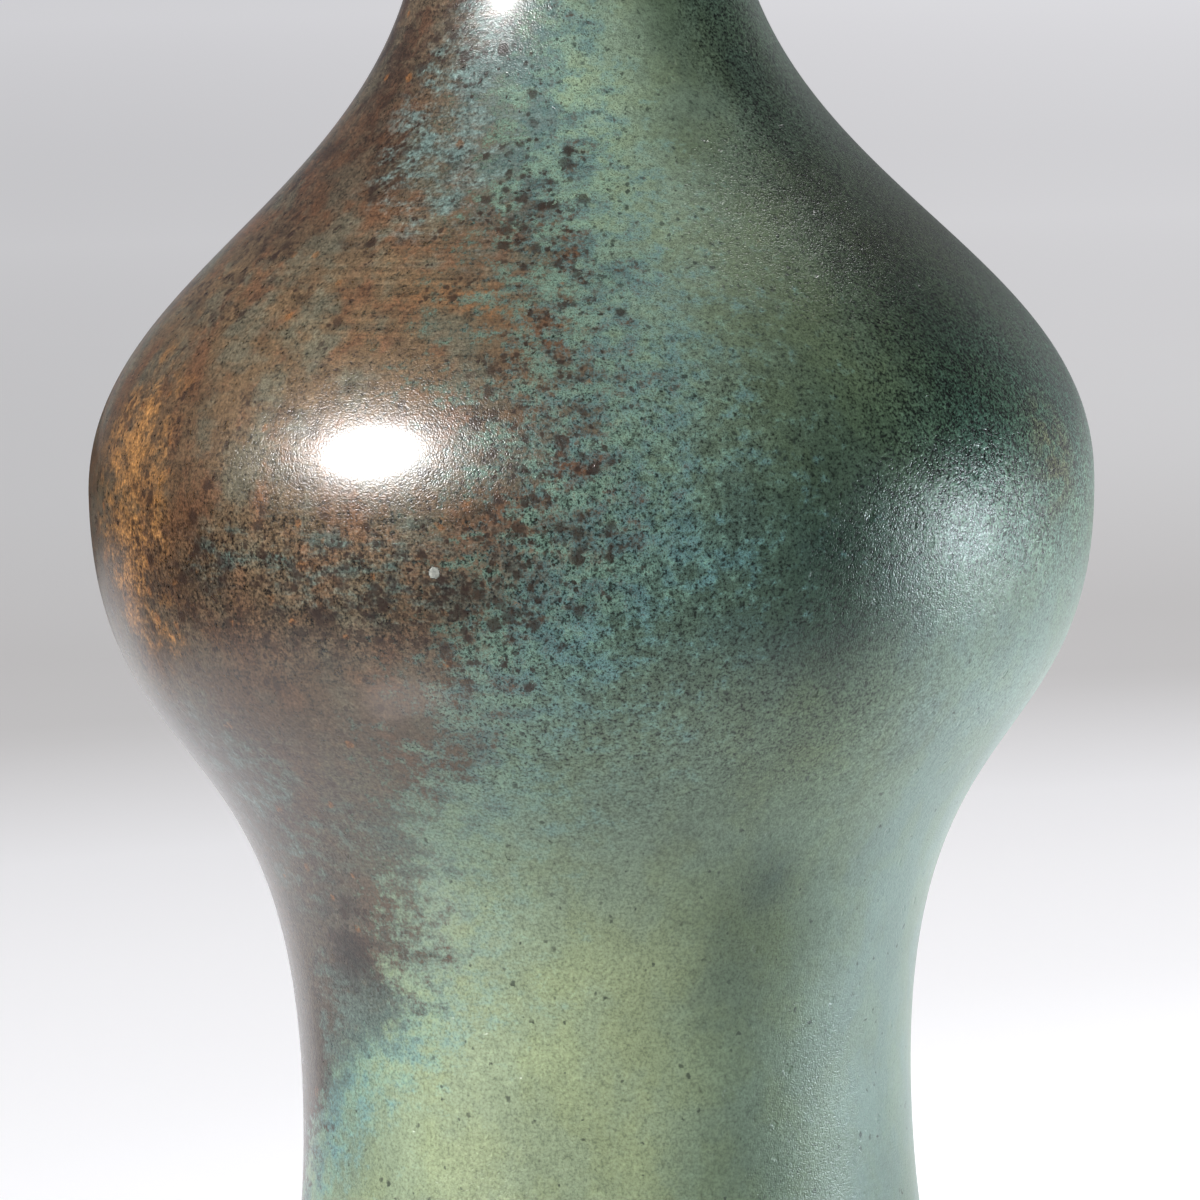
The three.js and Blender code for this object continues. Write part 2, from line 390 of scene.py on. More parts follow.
# The patina's tones, as they are seen, which ramps lay one over another by height
PALE_GREEN = (164, 180, 145)
COOL_GREEN = (164, 187, 160)
MID_GREEN = (138, 157, 136)
BLUE_GREEN = (132, 152, 143)
GREY_GREEN = (118, 137, 116)
OLIVE = (100, 118, 92)
DEEP_GREEN = (96, 121, 108)
DARK_GREEN = (47, 70, 58)
DARK_OLIVE = (42, 52, 34)
TAUPE = (123, 100, 73)
WARM_BROWN = (106, 90, 71)
GREY_BROWN = (101, 99, 86)
EARTH_BROWN = (93, 77, 58)
DEEP_BROWN = (82, 65, 51)

# Green ground: pale and yellowish low down in front, a darker strip beside it with painted dark reflection,
# olive on the right shoulder with painted shade
front_green = bench.ramp(
    up, TOP,
    (0, *MID_GREEN), (47, *PALE_GREEN), (74, *PALE_GREEN), (95, *MID_GREEN), (127, *DEEP_GREEN),
    (138, *DEEP_GREEN), (172, *MID_GREEN), (201, *COOL_GREEN), (222, *MID_GREEN), (TOP, *DEEP_GREEN),
)
# Painted dark reflection, over dark green patina: the darkest band of the strip, 127 to 142 mm up, under
# the belly
middle_green = bench.ramp(
    up, TOP,
    (0, *GREY_GREEN), (60, *GREY_GREEN), (81, *OLIVE), (95, *GREY_GREEN), (109, *OLIVE),
    (127, *DARK_GREEN), (142, *DARK_GREEN), (164, *OLIVE), (184, *OLIVE), (200, *GREY_GREEN),
    (217, *OLIVE), (TOP, *DEEP_GREEN),
)
# Painted shade, over dark olive patina: the dark upper right shoulder, from 154 mm up and darkest at about
# 180
right_green = bench.ramp(
    up, TOP,
    (0, *DEEP_GREEN), (60, *BLUE_GREEN), (112, *BLUE_GREEN), (134, *DEEP_GREEN), (154, *DARK_GREEN),
    (180, *DARK_OLIVE), (TOP, *DEEP_GREEN),
)
RIGHT_MIDDLE = 100.0
STRIP_MIDDLE = 110.0
right_narrowed = bench.line(up, (0, 5.0), (100, 5.0), (125, 0.0), (TOP, 0.0))
from_right = bench.add(bench.apart(around, RIGHT_MIDDLE), right_narrowed)
to_the_right = bench.fade(from_right, 74.0, 50.0)
strip_widened = bench.line(up, (0, -4.0), (92, -5.0), (118, 0.0), (TOP, 0.0))
from_strip = bench.add(bench.apart(around, STRIP_MIDDLE), strip_widened)
ground = bench.mix(bench.fade(from_strip, 103.0, 80.0), front_green, middle_green)
ground = bench.mix(to_the_right, ground, right_green)
ground = bench.mix(bench.times(zone(28, 88, 4, 5, softness=0.9), 0.75), ground, tint(74, 94, 84))
edge_stain = bench.times(zone(65, 147, 5, 7, softness=0.8), bench.fade(blotches, 0.4, 0.55))
ground = bench.mix(bench.times(edge_stain, 0.7), ground, tint(84, 80, 56))
yellowish = bench.shade(ground, (1.08, 1.02, 0.82, 1.0))
ground = bench.mix(bench.times(bench.fade(reddened, 0.42, 0.6), 0.45), ground, yellowish)
ground = bench.mix(bench.times(zone(-60, 52, 14, 12), 0.5), ground, tint(92, 116, 114))
ground = bench.shade(ground, bench.between(clouds, 0.72, 1.28))

# Turquoise where the green meets the brown
near_border = bench.add(
    depth,
    bench.swing(streaks, 40.0),
    bench.swing(blotches, 45.0),
    bench.swing(mottle, 60.0),
)
turquoise_share = bench.line(
    up, (0, 0.6), (55, 0.75), (85, 0.35), (112, 0.5), (130, 0.75), (190, 0.8), (215, 0.7), (TOP, 0.6)
)
turquoise = bench.times(bench.fade(near_border, -28.0, 6.0), turquoise_share)
turquoise_tone = bench.mix(bench.fade(blotches, 0.4, 0.6), tint(140, 182, 163), tint(123, 176, 180))
green_side = bench.mix(turquoise, ground, turquoise_tone)

# Fine speckle over the green, weak low down and strong on the dark right shoulder
upper_right = bench.times(to_the_right, bench.fade(up, 120.0, 150.0))
speckled = bench.line(up, (0, 0.6), (92, 0.65), (124, 1.6), (155, 1.4), (185, 0.8), (TOP, 0.8))
lower_right = bench.times(to_the_right, bench.fade(up, 148.0, 132.0))
speckled = bench.times(
    speckled,
    bench.add(
        1.0,
        bench.times(upper_right, 1.6),
        bench.times(lower_right, -0.55),
        bench.times(turquoise, 0.5),
    ),
)
speckle = bench.add(bench.swing(mottle, 0.95), bench.swing(grain, 1.5), bench.swing(fine, 2.3))
speckle = bench.math("MAXIMUM", bench.math("MULTIPLY_ADD", speckle, speckled, 1.05), 0.1)
green_side = bench.shade(green_side, speckle)

# Dark pepper, dense close to the border and thin low down
PEPPER = tint(36, 46, 40)
peppered = bench.times(bench.fade(depth, -58.0, -6.0), bench.fade(up, 98.0, 128.0))
fine_pepper = bench.times(bench.fade(fine, 0.56, 0.68), bench.between(peppered, 0.1, 0.75))
green_side = bench.mix(fine_pepper, green_side, PEPPER)
specks = strewn(1.2, 0.8, bench.between(peppered, 0.06, 0.4))
green_side = bench.mix(bench.times(specks, 0.8), green_side, PEPPER)

# A few pale scratches on the front of the shoulder
scribble = bench.noise(point, 6.0, 1.0, 0.5)
scratches = bench.fade(bench.math("ABSOLUTE", bench.swing(scribble, 1.0)), 0.005, 0.001)
scratches = bench.times(scratches, zone(24, 182, 16, 20), bench.fade(blotches, 0.48, 0.6))
green_side = bench.mix(bench.times(scratches, 0.4), green_side, tint(176, 178, 140))

# Brown ground: grey-brown low down, a dark band under the ridge, taupe over it, dark towards the neck
DARK_BROWN = tint(44, 31, 25)
brown_side = bench.ramp(
    up, TOP,
    (0, *DEEP_BROWN), (47, *GREY_BROWN), (88, *GREY_BROWN), (118, *EARTH_BROWN), (126, *EARTH_BROWN),
    (158, *TAUPE), (176, *TAUPE), (188, *WARM_BROWN), (220, *WARM_BROWN), (248, *DEEP_BROWN),
)
darkened = bench.line(
    up,
    (0, 0.5), (85, 0.5), (105, 0.3), (120, 0.35), (131, 0.8), (146, 0.6),
    (160, 0.55), (178, 0.62), (190, 0.75), (TOP, 0.85),
)
dark_patches = bench.add(bench.swing(blotches, 0.7), bench.swing(streaks, 0.5), bench.swing(grain, 0.4))
dark_patches = bench.times(bench.fade(dark_patches, -0.02, 0.16), darkened)
brown_side = bench.mix(dark_patches, brown_side, DARK_BROWN)
under_neck = bench.add(clustered, bench.swing(streaks, 0.6), bench.swing(mottle, 0.4))
under_neck = bench.times(bench.fade(under_neck, 0.42, 0.54), bench.fade(up, 180.0, 196.0), 0.75)
brown_side = bench.mix(under_neck, brown_side, tint(60, 40, 31))
over_belly = bench.times(bench.fade(up, 128.0, 150.0), bench.fade(up, 206.0, 186.0))
red_brown = bench.fade(bench.add(reddened, bench.swing(mottle, 0.3)), 0.46, 0.64)
red_brown = bench.times(red_brown, bench.between(over_belly, 0.3, 0.75))
brown_side = bench.mix(red_brown, brown_side, tint(122, 84, 58))
olive_grey = bench.fade(bench.add(greyed, bench.swing(streaks, 0.3)), 0.46, 0.64)
olive_grey = bench.times(olive_grey, bench.between(over_belly, 0.35, 0.7))
brown_side = bench.mix(olive_grey, brown_side, tint(112, 112, 94))
# Painted shade, over darker brown patina: this mask darkens the brown low down on the far left, in the dark
# mix below and again further down
painted_shade_low_left = bench.times(bench.fade(around, -34.0, -60.0), bench.fade(up, 122.0, 108.0))
far_left = bench.either(
    zone(-62, 144, 16, 26),
    zone(-56, 192, 16, 12, softness=0.7),
    zone(-48, 117, 12, 12, softness=0.9),
    painted_shade_low_left,
)
brown_side = bench.mix(bench.times(far_left, 0.55), brown_side, tint(70, 46, 29))
beside_border = bench.add(depth, bench.swing(blotches, 50.0), bench.swing(streaks, 30.0))
beside_border = bench.times(bench.fade(beside_border, 18.0, -2.0), 0.58)
brown_side = bench.mix(beside_border, brown_side, tint(66, 50, 40))
# Painted shade: the brown low on the far left darkened once more, most at about 107 mm up
painted_low_shade = bench.line(up, (0, 0.25), (80, 0.22), (96, 0.5), (107, 0.75), (120, 0.4), (TOP, 0.3))
brown_side = bench.mix(bench.times(painted_shade_low_left, painted_low_shade), brown_side, tint(60, 44, 34))

# Turquoise left in the brown: a little in the dark band and below it, streaks under the neck, and low left
flecked = bench.either(
    bench.times(zone(-26, 137, 24, 7), 0.42),
    zone(-26, 201, 17, 15, softness=0.9),
    bench.times(zone(-58, 98, 14, 16, softness=0.9), 0.4),
    bench.times(zone(-34, 96, 18, 6), 0.3),
    zone(-52, 64, 13, 12),
)
flecks = bench.add(
    bench.swing(streaks, 0.7),
    bench.swing(blotches, 1.0),
    bench.swing(mottle, 0.45),
    bench.swing(grain, 0.25),
)
flecks = bench.fade(bench.add(flecks, bench.times(flecked, 0.22)), 0.0, 0.32)
flecks = bench.times(flecks, bench.fade(flecked, 0.0, 0.4))
fleck_tone = bench.mix(bench.fade(up, 160.0, 180.0), tint(96, 122, 114), tint(120, 148, 143))
brown_side = bench.mix(bench.times(flecks, 0.7), brown_side, fleck_tone)
band_clusters = bench.fade(bench.add(bench.swing(blotches, 0.9), bench.swing(mottle, 0.9)), 0.02, 0.2)
band_clusters = bench.times(band_clusters, zone(-30, 133, 34, 9), 0.9)
brown_side = bench.mix(band_clusters, brown_side, tint(42, 28, 22))
left_blotches = bench.times(zone(-50, 78, 9, 7, softness=0.9), bench.fade(blotches, 0.44, 0.54))
brown_side = bench.mix(bench.times(left_blotches, 0.85), brown_side, DARK_BROWN)

# Gold smears on the far left, an orange streak over the highlight and a few orange stains
gold_share = bench.either(
    zone(-65, 147, 9, 16, softness=0.8),
    bench.times(zone(-63, 128, 8, 6, softness=0.8), 0.6),
)
gold = bench.add(bench.swing(blotches, 1.2), bench.swing(mottle, 0.4), bench.swing(grain, 0.2))
gold = bench.fade(bench.add(gold, bench.times(gold_share, 0.26)), 0.02, 0.48)
gold = bench.times(gold, bench.fade(gold_share, 0.0, 0.6))
brown_side = bench.mix(gold, brown_side, tint(182, 131, 76))
rusty = bench.between(zone(-38, 134, 30, 12), 0.14, 0.5)
rust_spots = strewn(3.6, 1.7, rusty)
rust = bench.either(
    bench.times(zone(-18, 174, 7, 2.4, softness=0.8), bench.fade(mottle, 0.42, 0.58), 0.5),
    bench.times(rust_spots, 0.75),
)
brown_side = bench.mix(rust, brown_side, tint(142, 94, 52))

# Fine speckle over the brown, with turning lines that show most over the highlight
scored = bench.between(zone(-14, 177, 24, 14), 0.5, 1.4)
brown_speckle = bench.add(
    bench.swing(mottle, 1.6),
    bench.swing(grain, 2.4),
    bench.swing(fine, 2.0),
    bench.times(bench.swing(lines, 1.3), scored),
)
in_band = bench.between(zone(-24, 134, 34, 10), 1.0, 1.7)
brown_speckle = bench.times(brown_speckle, bench.between(gold, 1.0, 1.1), in_band)
brown_side = bench.shade(brown_side, bench.math("MAXIMUM", bench.add(brown_speckle, 1.05), 0.1))

# Dark dots beside the border and along the band under the ridge, and loose clusters of them over the brown
BAND_HEIGHT = 134.0
from_band = bench.math("ABSOLUTE", bench.math("SUBTRACT", up, BAND_HEIGHT))
along_band = bench.times(bench.fade(depth, 62.0, 46.0), bench.fade(from_band, 12.0, 5.0))
along_border = bench.times(bench.fade(depth, 12.0, 3.0), bench.fade(up, 212.0, 188.0))
near = bench.times(
    bench.either(along_band, along_border),
    bench.fade(depth, -11.0, 0.0),
    bench.fade(up, 112.0, 126.0),
    bench.fade(bench.add(blotches, bench.swing(clouds, 0.5)), 0.34, 0.54),
)
loose_dots = bench.times(
    bench.fade(bench.add(clustered, bench.swing(blotches, 0.4)), 0.5, 0.66),
    bench.fade(depth, 0.0, 8.0),
    bench.line(up, (0, 0.5), (85, 0.5), (100, 0.2), (120, 0.4), (150, 0.8), (TOP, 0.9)),
)
dotted = bench.either(near, loose_dots)
large_dots = strewn(2.4, 2.3, bench.times(dotted, 0.85))
small_dots = strewn(1.0, 1.0, bench.times(dotted, 0.7))
dots = bench.either(large_dots, small_dots)

skin = bench.mix(brown, green_side, brown_side)
skin = bench.mix(bench.times(dots, 0.9), skin, tint(54, 37, 28))

# Rubbed bare on the lip and the foot's edges, and darker in the groove over the foot
FOOT_TOP = foot_seam.height
height = plain["Up"]
on_foot = bench.math("LESS_THAN", height, FOOT_TOP)
edges = bench.either(
    bench.fade(height, TOP - 3.0, TOP - 0.6),
    bench.fade(height, 1.6, 0.2),
    bench.times(bench.fade(height, FOOT_TOP - 2.0, FOOT_TOP - 0.8), on_foot),
)
rubbed = bench.times(edges, bench.fade(bench.add(blotches, bench.swing(mottle, 0.5)), 0.42, 0.56))
from_groove = bench.math("ABSOLUTE", bench.math("SUBTRACT", height, FOOT_TOP + 0.3))
groove_dark = bench.times(bench.fade(from_groove, 1.6, 0.2), 0.7)
skin = bench.mix(groove_dark, skin, tint(46, 40, 34))
skin = bench.mix(bench.times(rubbed, 0.85), skin, tint(170, 118, 82))

# Bare dark metal inside the vase and under the foot, from the lip's inner edge down
inside = bench.put("ShaderNodeAttribute", out="Fac", attribute_name="inner")
inside = bench.times(inside, bench.fade(height, TOP - 1, TOP - 22))
skin = bench.mix(inside, skin, bench.shade(tint(70, 50, 40), bench.between(blotches, 0.5, 1.5)))
bench.feed(shader["Base Color"], skin)

# Waxed on the brown side, most under the neck; a worn sheen and casting pits on the belly's right
waxed = bench.times(bench.fade(depth, -14.0, 8.0), bench.between(inside, 1.0, 0.0))
sheen = zone(50, 140, 14, 15, softness=0.8)
roughness = bench.add(bench.between(waxed, 0.32, 0.3), bench.times(sheen, -0.07), bench.swing(mottle, 0.18))
bench.feed(shader["Roughness"], roughness)
thick_wax = bench.times(zone(-33, 216, 18, 14, softness=0.7), waxed)
coat = bench.add(bench.between(waxed, 0.07, 0.6), bench.times(thick_wax, 0.4))
bench.feed(shader["Coat Weight"], coat)
bench.feed(shader["Metallic"], bench.either(bench.times(gold, brown, 0.15), bench.times(rubbed, 0.7)))
pitted = zone(47, 142, 8, 9)
pits = strewn(2.2, 1.5, bench.between(pitted, 0.05, 0.7))
pits = bench.times(pits, bench.between(waxed, 1.0, 0.2))
rough = bench.times(bench.swing(grain, 1.0), sheen, 0.14)
relief = bench.add(
    bench.times(bench.noise(point, 0.22, 0.0), 0.07),
    bench.times(fine, 0.05),
    bench.times(mottle, 0.12),
    bench.times(lines, 0.01),
    bench.times(pits, -0.15),
    rough,
)
depth_share = bench.add(bench.between(waxed, 0.8, 0.62), bench.times(sheen, 0.25))
relief = bench.times(relief, depth_share)
bench.feed(shader["Normal"], bench.bump(relief))

# A turned piece: its section goes once round the upright axis, as on a lathe
SEGMENTS = 192
PATH_RADIUS = 10.0
SHARP_ABOVE = math.radians(35)

lathe = bpy.data.node_groups.new("turned_piece", "GeometryNodeTree")
for label, kind in {
    "Section": "Geometry",
    "Segments": "Int",
    "Path Radius": "Float",
    "Sharp Above": "Float",
    "Finish": "Material",
}.items():
    lathe.interface.new_socket(label, in_out="INPUT", socket_type="NodeSocket" + kind)
lathe.interface.new_socket("Piece", in_out="OUTPUT", socket_type="NodeSocketGeometry")
bench = Bench(lathe)
feeds = lathe.nodes.new("NodeGroupInput").outputs
profile = bench.put("GeometryNodeMeshToCurve", {"Mesh": feeds["Section"]})
path = bench.put(
    "GeometryNodeCurvePrimitiveCircle", {"Resolution": feeds["Segments"], "Radius": feeds["Path Radius"]}
)
piece = bench.put("GeometryNodeCurveToMesh", {"Curve": path, "Profile Curve": profile})
piece = bench.put("GeometryNodeMergeByDistance", {"Geometry": piece, "Distance": 1e-6})
piece = bench.put("GeometryNodeSetShadeSmooth", {"Geometry": piece, "Shade Smooth": True})
corner = bench.put("GeometryNodeInputMeshEdgeAngle")
sharp = bench.put("FunctionNodeCompare", {"A": corner, "B": feeds["Sharp Above"]}, operation="GREATER_THAN")
piece = bench.put(
    "GeometryNodeSetShadeSmooth",
    {"Geometry": piece, "Selection": sharp, "Shade Smooth": False},
    domain="EDGE",
)
piece = bench.put("GeometryNodeRealizeInstances", {"Geometry": piece})
piece = bench.put("GeometryNodeSetMaterial", {"Geometry": piece, "Material": feeds["Finish"]})
bench.feed(lathe.nodes.new("NodeGroupOutput").inputs["Piece"], piece)


def put_in_scene(name, data):
    """An object that holds a mesh, a lamp or a camera, linked to the scene."""
    made = bpy.data.objects.new(name, data)
    bpy.context.scene.collection.objects.link(made)
    return made


def as_plain_mesh(piece):
    """Takes what the piece's modifiers make as its own mesh, and removes them."""
    evaluated = piece.evaluated_get(bpy.context.evaluated_depsgraph_get())
    drawn, piece.data = piece.data, bpy.data.meshes.new_from_object(evaluated)
    piece.modifiers.clear()
    bpy.data.meshes.remove(drawn)
    piece.data.name = piece.name


def turned(name, shown, inner, finish):
    """A piece from its closed section (radius, height) in mm, outer line first and upwards."""
    section = [(*spot, 0.0) for spot in shown] + [(*spot, 1.0) for spot in inner]
    count = len(section)
    mesh = bpy.data.meshes.new(name)
    corners = [((radius - PATH_RADIUS) * MM, -height * MM, 0) for radius, height, _ in reversed(section)]
    mesh.from_pydata(corners, [(i, (i + 1) % count) for i in range(count)], [])
    mark = mesh.attributes.new("inner", "FLOAT", "POINT")
    mark.data.foreach_set("value", [side for _, _, side in reversed(section)])
    piece = put_in_scene(name, mesh)
    turning = piece.modifiers.new("turning", "NODES")
    turning.node_group = lathe
    values = {
        "Segments": SEGMENTS,
        "Path Radius": PATH_RADIUS * MM,
        "Sharp Above": SHARP_ABOVE,
        "Finish": finish,
    }
    for socket in lathe.interface.items_tree:
        if socket.name in values:
            turning[socket.identifier] = values[socket.name]
    as_plain_mesh(piece)
    return piece


def settle(piece, node):
    """Hands a finished piece to the frame: it rides on the vase and stands for a solid of it."""
    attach(piece, "root")
    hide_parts(node)


foot_ring = turned("foot_ring_turned", foot_shown, foot_inner, patina)
settle(foot_ring, "foot_ring")

# Bottom plate
# A flat disc of plain copper alloy, faced on a lathe and darkened brown. It lies on the ledge in the foot
# ring and closes the vase, so that it holds water.

PLATE_EDGE_ROUND = 0.4
PLATE_INNER_RING = 4.0
PLATE_OUTER_MARGIN = 1.0
PLATE_RINGS = 12

dark_copper, bench, shader = new_finish("dark_copper", {"IOR": 1.5})
point = bench.place()
across, deep, _ = bench.parts(point)
reach = bench.math("SQRT", bench.add(bench.math("POWER", across, 2.0), bench.math("POWER", deep, 2.0)))
rings = bench.put(
    "ShaderNodeTexNoise",
    {"W": reach, "Scale": 2.2, "Detail": 3.0},
    out="Fac",
    noise_dimensions="1D",
)
stains = bench.noise(point, 11.0, 6.0, 0.65)
spill = bench.fade(bench.noise(point, 20.0, 5.0, 0.6), 0.5, 0.66)
metal = bench.ramp(stains, 1.0, (0.3, 58, 40, 32), (0.5, 104, 72, 54), (0.7, 136, 96, 70))
metal = bench.mix(bench.times(spill, 0.6), metal, tint(84, 104, 92))
bench.feed(shader["Base Color"], bench.shade(metal, bench.between(rings, 0.75, 1.25)))
bench.feed(shader["Metallic"], bench.between(spill, 0.7, 0.2))
bench.feed(shader["Roughness"], bench.between(stains, 0.35, 0.6))
height = bench.add(bench.times(rings, 0.02), bench.times(stains, 0.03))
bench.feed(shader["Normal"], bench.bump(height))

plate_top = plate_high.z / MM
plate_edge = plate_radius - PLATE_EDGE_ROUND
plate_rings = np.linspace(PLATE_INNER_RING, plate_edge - PLATE_OUTER_MARGIN, PLATE_RINGS)
plate_section = [
    (0.0, ledge_height),
    *[(radius, ledge_height) for radius in plate_rings],
    *arc((plate_edge, ledge_height + PLATE_EDGE_ROUND), PLATE_EDGE_ROUND, -90, 0, 4),
    *arc((plate_edge, plate_top - PLATE_EDGE_ROUND), PLATE_EDGE_ROUND, 0, 90, 4),
    *[(radius, plate_top) for radius in plate_rings[::-1]],
    (0.0, plate_top),
]
bottom_plate = turned("bottom_plate_turned", plate_section, [], dark_copper)
settle(bottom_plate, "bottom_plate")

# Solder in the bottom
# A fillet of grey soft solder, run with the iron into the corner between the plate and the collar, so that
# the bottom is tight.

soft_solder, bench, shader = new_finish("soft_solder", {"Metallic": 0.9})
point = bench.place()
ripples = bench.noise(point, 2.5, 3.0, 0.6)
dull = bench.noise(point, 6.0, 5.0, 0.65)
grey = bench.ramp(dull, 1.0, (0.3, 120, 120, 116), (0.7, 176, 176, 170))
bench.feed(shader["Base Color"], grey)
bench.feed(shader["Roughness"], bench.between(dull, 0.55, 0.35))
bench.feed(shader["Normal"], bench.bump(bench.times(ripples, 0.12)))

solder_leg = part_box("bottom_solder")[1].z / MM - plate_top
solder_middle = (plate_radius - solder_leg, plate_top + solder_leg)
solder_section = [(plate_radius, plate_top), *arc(solder_middle, solder_leg, 0, -90)]
bottom_solder = turned("bottom_solder_run", solder_section, [], soft_solder)
settle(bottom_solder, "bottom_solder")

# Trunk
# One casting, turned outside: the stem that flares over the foot, narrows to the waist and swells to the
# fullest girth of the belly. Its lower end laps the foot ring's collar, its upper end carries the next one.

WAIST_RADIUS = 45.7
WAIST_HEIGHT = 51.5
FOOT_STEP = 0.6
TRUNK_FOOT_LEAN = math.radians(17)
TRUNK_FOOT_PULL = 12.0
WAIST_PULL_DOWN = 20.0
WAIST_PULL_UP = 59.5
BELLY_PULL_DOWN = 43.3
FLARE_STEPS = 48
SWELL_STEPS = 120
FLARE_WALL_STEPS = 20
SWELL_WALL_STEPS = 40
COLLAR_REACH = 6.0


def drawn_line(start, pull_from_start, pull_to_end, end, steps, depth=lambda share: 0 * share):
    """Points on a curve between two stations, closest at its ends, and set in from it by a depth."""
    share = ((1 - np.cos(np.linspace(0, np.pi, steps + 1))) / 2)[:, None]
    left = 1 - share
    a, b, c, d = (np.array(spot) for spot in (start, pull_from_start, pull_to_end, end))
    spots = left**3 * a + 3 * left**2 * share * b + 3 * left * share**2 * c + share**3 * d
    way = left**2 * (b - a) + 2 * left * share * (c - b) + share**2 * (d - c)
    inwards = np.column_stack([-way[:, 1], way[:, 0]]) / np.linalg.norm(way, axis=1)[:, None]
    return spots + inwards * depth(share)


def even_wall(share):
    return 0 * share + WALL


def cavity(wall, low, high):
    """The wall of the cavity between two heights, from the top down."""
    return [tuple(spot) for spot in wall[::-1] if low < spot[1] < high]


def rebate_over(seam, wall):
    """The rebate at a casting's lower end, from the cavity's wall out and down to the butt face."""
    radius = float(np.interp(seam.lap_top, wall[:, 1], wall[:, 0]))
    return [(radius, seam.lap_top), (seam.rebate, seam.lap_top), (seam.rebate, seam.height)]


belly_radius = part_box("shoulder")[1].x / MM
belly_seam = seam_at("belly_braze", "shoulder")
trunk_foot = (foot_edge - FOOT_STEP, foot_seam.height)
trunk_flare = (
    trunk_foot,
    (
        trunk_foot[0] - TRUNK_FOOT_PULL * math.sin(TRUNK_FOOT_LEAN),
        trunk_foot[1] + TRUNK_FOOT_PULL * math.cos(TRUNK_FOOT_LEAN),
    ),
    (WAIST_RADIUS, WAIST_HEIGHT - WAIST_PULL_DOWN),
    (WAIST_RADIUS, WAIST_HEIGHT),
)
trunk_swell = (
    (WAIST_RADIUS, WAIST_HEIGHT),
    (WAIST_RADIUS, WAIST_HEIGHT + WAIST_PULL_UP),
    (belly_radius, belly_seam.height - BELLY_PULL_DOWN),
    (belly_radius, belly_seam.height),
)
trunk_outer = np.vstack([drawn_line(*trunk_flare, FLARE_STEPS), drawn_line(*trunk_swell, SWELL_STEPS)[1:]])
flare_wall = drawn_line(*trunk_flare, FLARE_WALL_STEPS, even_wall)
swell_wall = drawn_line(*trunk_swell, SWELL_WALL_STEPS, even_wall)
trunk_wall = np.vstack([flare_wall, swell_wall[1:]])
trunk_inner = [
    *collar_on(belly_seam),
    *cavity(trunk_wall, foot_seam.lap_top, belly_seam.height - COLLAR_REACH),
    *rebate_over(foot_seam, trunk_wall),
]
trunk = turned("trunk_turned", [tuple(spot) for spot in trunk_outer], trunk_inner, patina)

# A casting pit left of the front is bored out round, for a plug
PLUG_DEPTH = 1.6
PIT_GAP = 0.1
BAR_SIDES = 32

plug_low, plug_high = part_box("casting_plug")
plug_middle = (plug_low + plug_high) / 2 / MM
plug_radius = (plug_high.z - plug_low.z) / 2 / MM
plug_angle = math.atan2(plug_middle.x, -plug_middle.y)
plug_face = math.hypot(plug_middle.x, plug_middle.y) + PLUG_DEPTH / 2


def bar_across(radius, inner_end, outer_end):
    """A round bar through the wall where the plug is, between two distances from the axis in mm."""
    length = outer_end - inner_end
    bar = bmesh.new()
    bmesh.ops.create_cone(
        bar, cap_ends=True, segments=BAR_SIDES, radius1=radius, radius2=radius, depth=length
    )
    bar.transform(Matrix.Translation((0, 0, inner_end + length / 2)))
    bar.transform(Matrix.Rotation(math.radians(90), 4, "X"))
    bar.transform(Matrix.Rotation(plug_angle, 4, "Z"))
    bar.transform(Matrix.Translation((0, 0, plug_middle.z)))
    return bar


pit_mesh = bpy.data.meshes.new("pit")
bar = bar_across(plug_radius + PIT_GAP, plug_face - PLUG_DEPTH - PIT_GAP, plug_face + WALL)
bar.transform(Matrix.Scale(MM, 4))
bar.to_mesh(pit_mesh)
bar.free()
pit = put_in_scene("pit", pit_mesh)
boring = trunk.modifiers.new("boring", "BOOLEAN")
boring.operation = "DIFFERENCE"
boring.solver = "EXACT"
boring.object = pit
as_plain_mesh(trunk)
bpy.data.meshes.remove(pit_mesh)

bored = bmesh.new()
bored.from_mesh(trunk.data)
for edge in bored.edges:
    if edge.calc_face_angle(0.0) > SHARP_ABOVE:
        edge.smooth = False
bored.to_mesh(trunk.data)
bored.free()
settle(trunk, "trunk")

# Casting plug
# A short pin of pale alloy driven into the pit in the trunk and filed flush, so that it follows the wall.

PLUG_EDGE_ROUND = 0.12

plug_metal, bench, shader = new_finish("plug_metal", {"IOR": 1.5})
point = bench.place()
filed = bench.noise(bench.stretch(point, 0.3, 0.3, 1.0), 0.18, 2.0, 0.6)
dull = bench.noise(point, 0.7, 3.0, 0.6)
pale = bench.ramp(dull, 1.0, (0.35, 150, 154, 146), (0.65, 206, 206, 196))
bench.feed(shader["Base Color"], bench.shade(pale, bench.between(filed, 0.75, 1.25)))
bench.feed(shader["Metallic"], bench.between(dull, 0.25, 0.6))
bench.feed(shader["Roughness"], bench.between(filed, 0.3, 0.5))
bench.feed(shader["Normal"], bench.bump(bench.times(filed, 0.02)))

